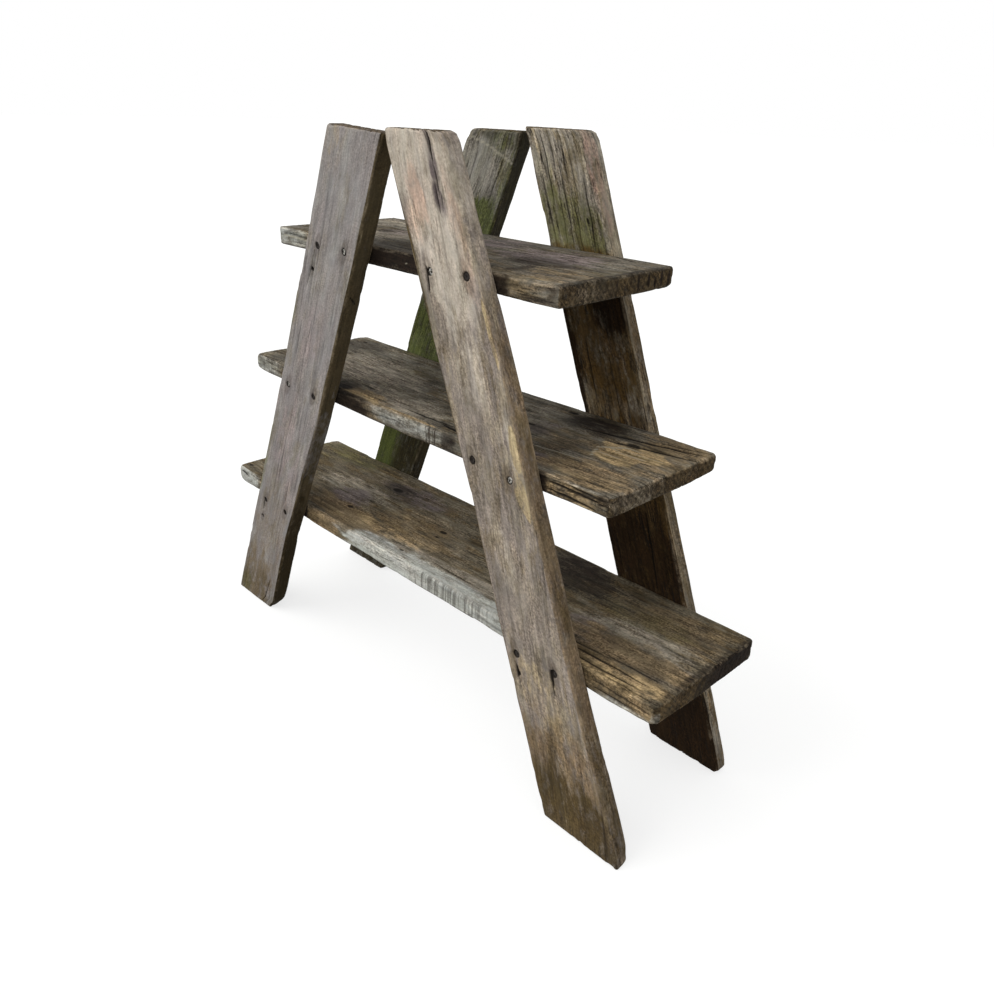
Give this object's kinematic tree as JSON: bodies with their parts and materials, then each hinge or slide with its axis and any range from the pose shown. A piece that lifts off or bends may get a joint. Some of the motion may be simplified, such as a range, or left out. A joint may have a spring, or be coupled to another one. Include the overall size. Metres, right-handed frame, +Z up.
{
  "type": "tiered plant stand",
  "caption": "Weathered timber plant stand: shelf boards of growing length are clasped and screwed between front and rear pairs of splayed legs.",
  "frame": {"origin": "on the floor, in the middle of the stand's outline seen from above", "axes": "+X along the shelves to the right as seen from the front, +Y to the back, +Z up"},
  "size_m": [1.03, 0.29, 0.904],
  "materials": {
    "front_leg_wood": "grey weathered sawn timber with fine grain streaks, checks and worn edges",
    "rear_leg_wood": "dark weathered timber with green algae and deep checks",
    "shelf_wood": "brown-grey weathered timber with dark stains, knots and bleached worn edges",
    "screw_steel": "dull zinc with some rust"
  },
  "bodies": {
    "root": {"front_left_leg": "front_leg_wood", "front_right_leg": "front_leg_wood", "rear_left_leg": "rear_leg_wood", "rear_right_leg": "rear_leg_wood", "top_shelf": "shelf_wood", "middle_shelf": "shelf_wood", "bottom_shelf": "shelf_wood", "top_shelf_screws_front_left": "screw_steel", "middle_shelf_screws_front_left": "screw_steel", "bottom_shelf_screws_front_left": "screw_steel", "top_shelf_screws_front_right": "screw_steel", "middle_shelf_screws_front_right": "screw_steel", "bottom_shelf_screws_front_right": "screw_steel", "top_shelf_screws_rear_left": "screw_steel", "middle_shelf_screws_rear_left": "screw_steel", "bottom_shelf_screws_rear_left": "screw_steel", "top_shelf_screws_rear_right": "screw_steel", "middle_shelf_screws_rear_right": "screw_steel", "bottom_shelf_screws_rear_right": "screw_steel"}
  },
  "joints": []
}
